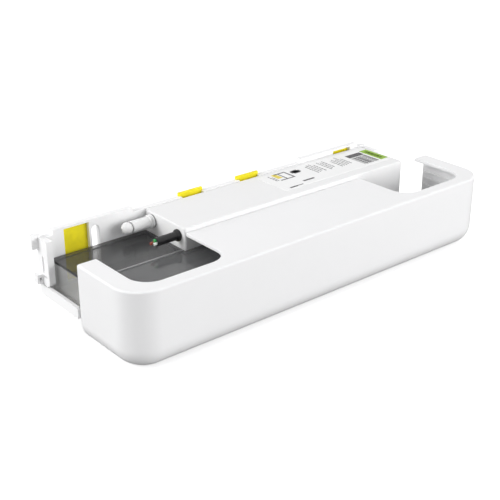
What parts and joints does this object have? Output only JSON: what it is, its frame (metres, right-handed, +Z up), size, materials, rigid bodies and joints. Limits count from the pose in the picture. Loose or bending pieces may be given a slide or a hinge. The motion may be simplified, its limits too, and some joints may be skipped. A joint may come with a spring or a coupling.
{
  "type": "condensate pump",
  "caption": "Wall-fixed condensate pump: plate with pads, pump block, smoke-tinted water tank and a slip-on white cover with pipe windows.",
  "frame": {"origin": "on the wall plane, on the line of the round screw holes, halfway along the cover", "axes": "+X along the length to the right as seen from the room, +Y into the wall, +Z up"},
  "size_m": [0.33, 0.108, 0.0618],
  "materials": {
    "white_abs": "glossy white moulded plastic",
    "white_plate": "satin white moulded plastic",
    "white_block": "semi-gloss white moulded plastic",
    "pad_yellow": "yellow adhesive foam",
    "label_print": "printed film label",
    "fitting_white": "white moulded fitting",
    "black_rubber": "black rubber",
    "lead_black": "black lead sheath",
    "core_green": "green core insulation",
    "core_white": "pale core insulation",
    "core_brown": "brown core insulation",
    "grey_rubber": "grey rubber",
    "tank_smoke": "light smoke clear plastic",
    "lid_smoke": "dark smoke clear plastic",
    "screw_steel": "zinc-plated steel",
    "piston_steel": "ground steel",
    "yoke_steel": "grey steel",
    "coil_wrap": "taped copper winding",
    "natural_plastic": "natural plastic",
    "board_green": "circuit board",
    "part_blue": "blue plastic case",
    "part_orange": "orange plastic case",
    "terminal_green": "green terminal block",
    "hose_clear": "milky silicone hose",
    "float_foam": "float plastic",
    "magnet": "ferrite magnet"
  },
  "bodies": {
    "wall_unit": {"wall_plate": "white_plate", "adhesive_pads": "pad_yellow", "pump_housing": "white_block", "housing_base": "white_block", "housing_screws": "screw_steel", "type_label": "label_print", "outlet_sleeve": "fitting_white", "outlet_nozzle": "fitting_white", "outlet_seal": "grey_rubber", "cable_grommet": "black_rubber", "cable_sheath": "lead_black", "cable_core_earth": "core_green", "cable_core_neutral": "core_white", "cable_core_live": "core_brown", "cable_clamp": "natural_plastic", "terminal_block": "terminal_green", "control_board": "board_green", "board_relay": "part_blue", "board_capacitor": "part_orange", "sensor_board": "board_green", "sensor_lead": "lead_black", "pump_tube": "natural_plastic", "pump_coil": "coil_wrap", "coil_yoke": "yoke_steel", "piston_spring_left": "screw_steel", "piston_spring_right": "screw_steel", "pump_dampers": "grey_rubber", "suction_tube": "hose_clear", "suction_spigot": "fitting_white", "spigot_seal": "grey_rubber", "discharge_tube": "hose_clear"},
    "cover": {"front_cover": "white_abs"},
    "tank_unit": {"tank": "tank_smoke", "tank_spout": "tank_smoke", "tank_lid": "lid_smoke", "tank_gasket": "grey_rubber", "suction_filter": "natural_plastic", "float_stem": "natural_plastic", "float_clip": "screw_steel"},
    "float_unit": {"float": "float_foam", "float_magnet": "magnet"},
    "piston": {"pump_piston": "piston_steel"}
  },
  "joints": [
    {"name": "cover_slide", "type": "slide", "parent": "wall_unit", "child": "cover", "axis": [0, -1, 0], "range_m": [0, 0.14]},
    {"name": "tank_slide", "type": "slide", "parent": "wall_unit", "child": "tank_unit", "axis": [0, -1, 0], "range_m": [0, 0.07]},
    {"name": "float_slide", "type": "slide", "parent": "tank_unit", "child": "float_unit", "axis": [0, 0, 1], "range_m": [0, 0.015]},
    {"name": "piston_slide", "type": "slide", "parent": "wall_unit", "child": "piston", "axis": [1, 0, 0], "range_m": [-0.0015, 0.0015], "stiffness_N_per_m": 900}
  ],
  "couplings": [
    {"joint": "tank_slide", "follows": "cover_slide", "ratio": 0.5}
  ]
}
